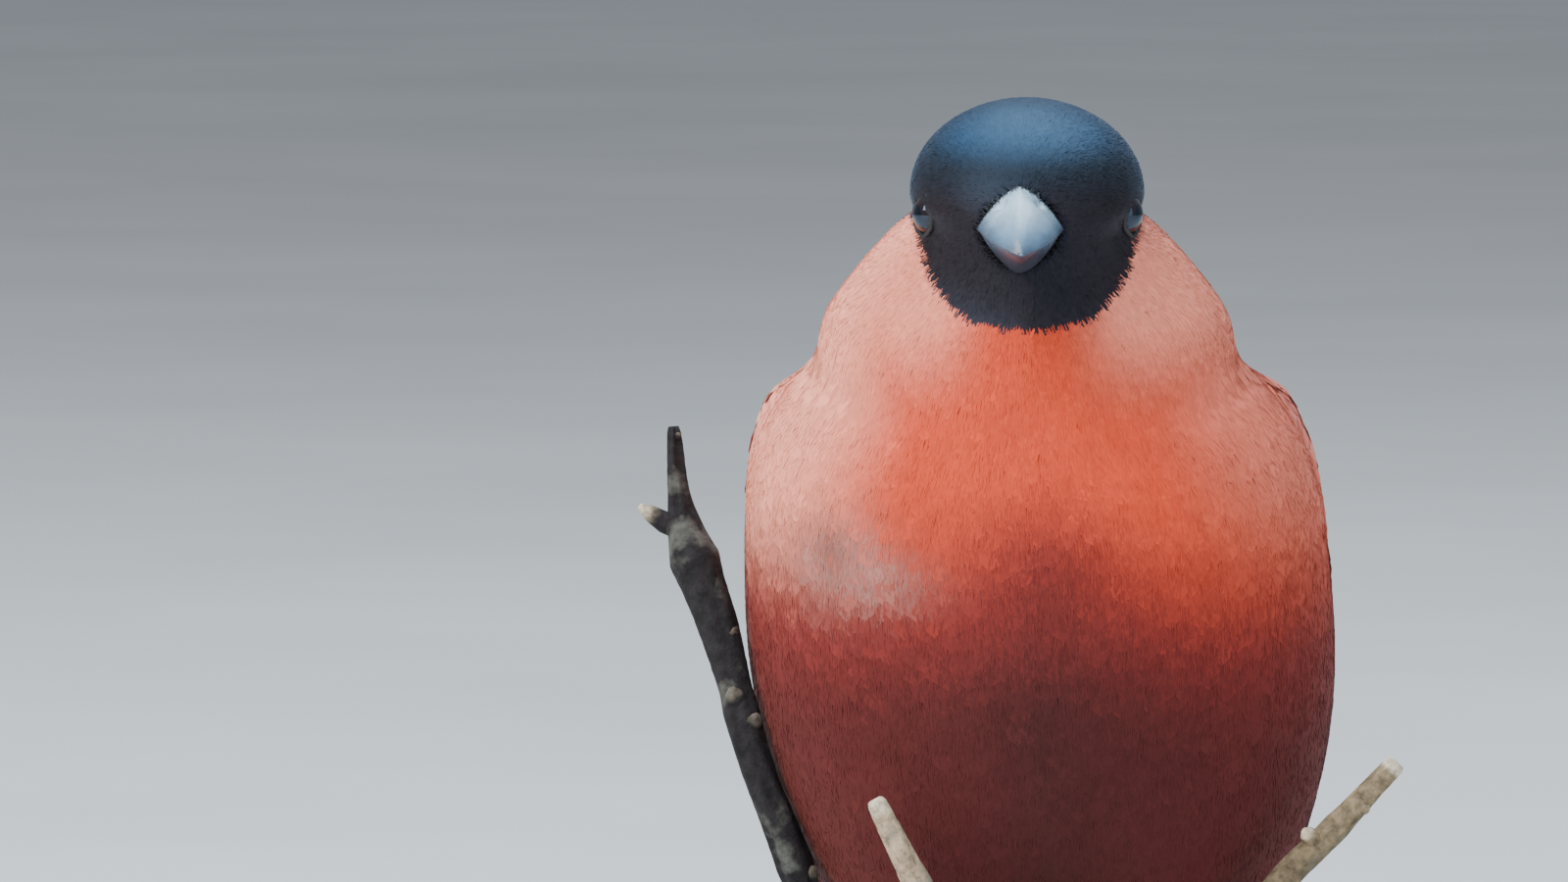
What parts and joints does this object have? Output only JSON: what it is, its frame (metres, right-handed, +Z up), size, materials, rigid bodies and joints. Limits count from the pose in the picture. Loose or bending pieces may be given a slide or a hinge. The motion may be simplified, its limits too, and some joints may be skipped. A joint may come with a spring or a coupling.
{
  "type": "bullfinch",
  "caption": "Life-size male bullfinch, fluffed up and facing forward, its feet round a cut length of branch with short side twigs, on a round base with short rods.",
  "frame": {"origin": "on the base's underside, below the branch and 8 mm in front of the base's centre", "axes": "+Z up; the bird faces -Y, so its left side is towards +X, and the branch runs along X"},
  "size_m": [0.0944, 0.094, 0.1454],
  "materials": {
    "black_plumage": "soft, with a blue gloss on the crown",
    "red_plumage": "soft, matte",
    "flank_plumage": "soft, matte",
    "wing_plumage": "satin",
    "tail_plumage": "satin",
    "bill_horn": "satin horn",
    "eye": "wet gloss",
    "leg_skin": "matte, scaly",
    "bark": "rough bark",
    "base_wood": "satin oiled",
    "rod_steel": "brushed"
  },
  "bodies": {
    "root": {"head": "black_plumage", "neck": "red_plumage", "torso": "red_plumage", "tail": "tail_plumage", "bill_upper": "bill_horn", "bill_lower": "bill_horn", "eye_left": "eye", "eye_right": "eye", "wing_left": "wing_plumage", "wing_right": "wing_plumage", "thigh_left": "flank_plumage", "thigh_right": "flank_plumage", "foot_left": "leg_skin", "foot_right": "leg_skin", "perch": "bark", "perch_twig_left": "bark", "perch_twig_front": "bark", "perch_twig_right": "bark", "stand_base": "base_wood", "stand_rod_left": "rod_steel", "stand_rod_right": "rod_steel"}
  },
  "joints": []
}
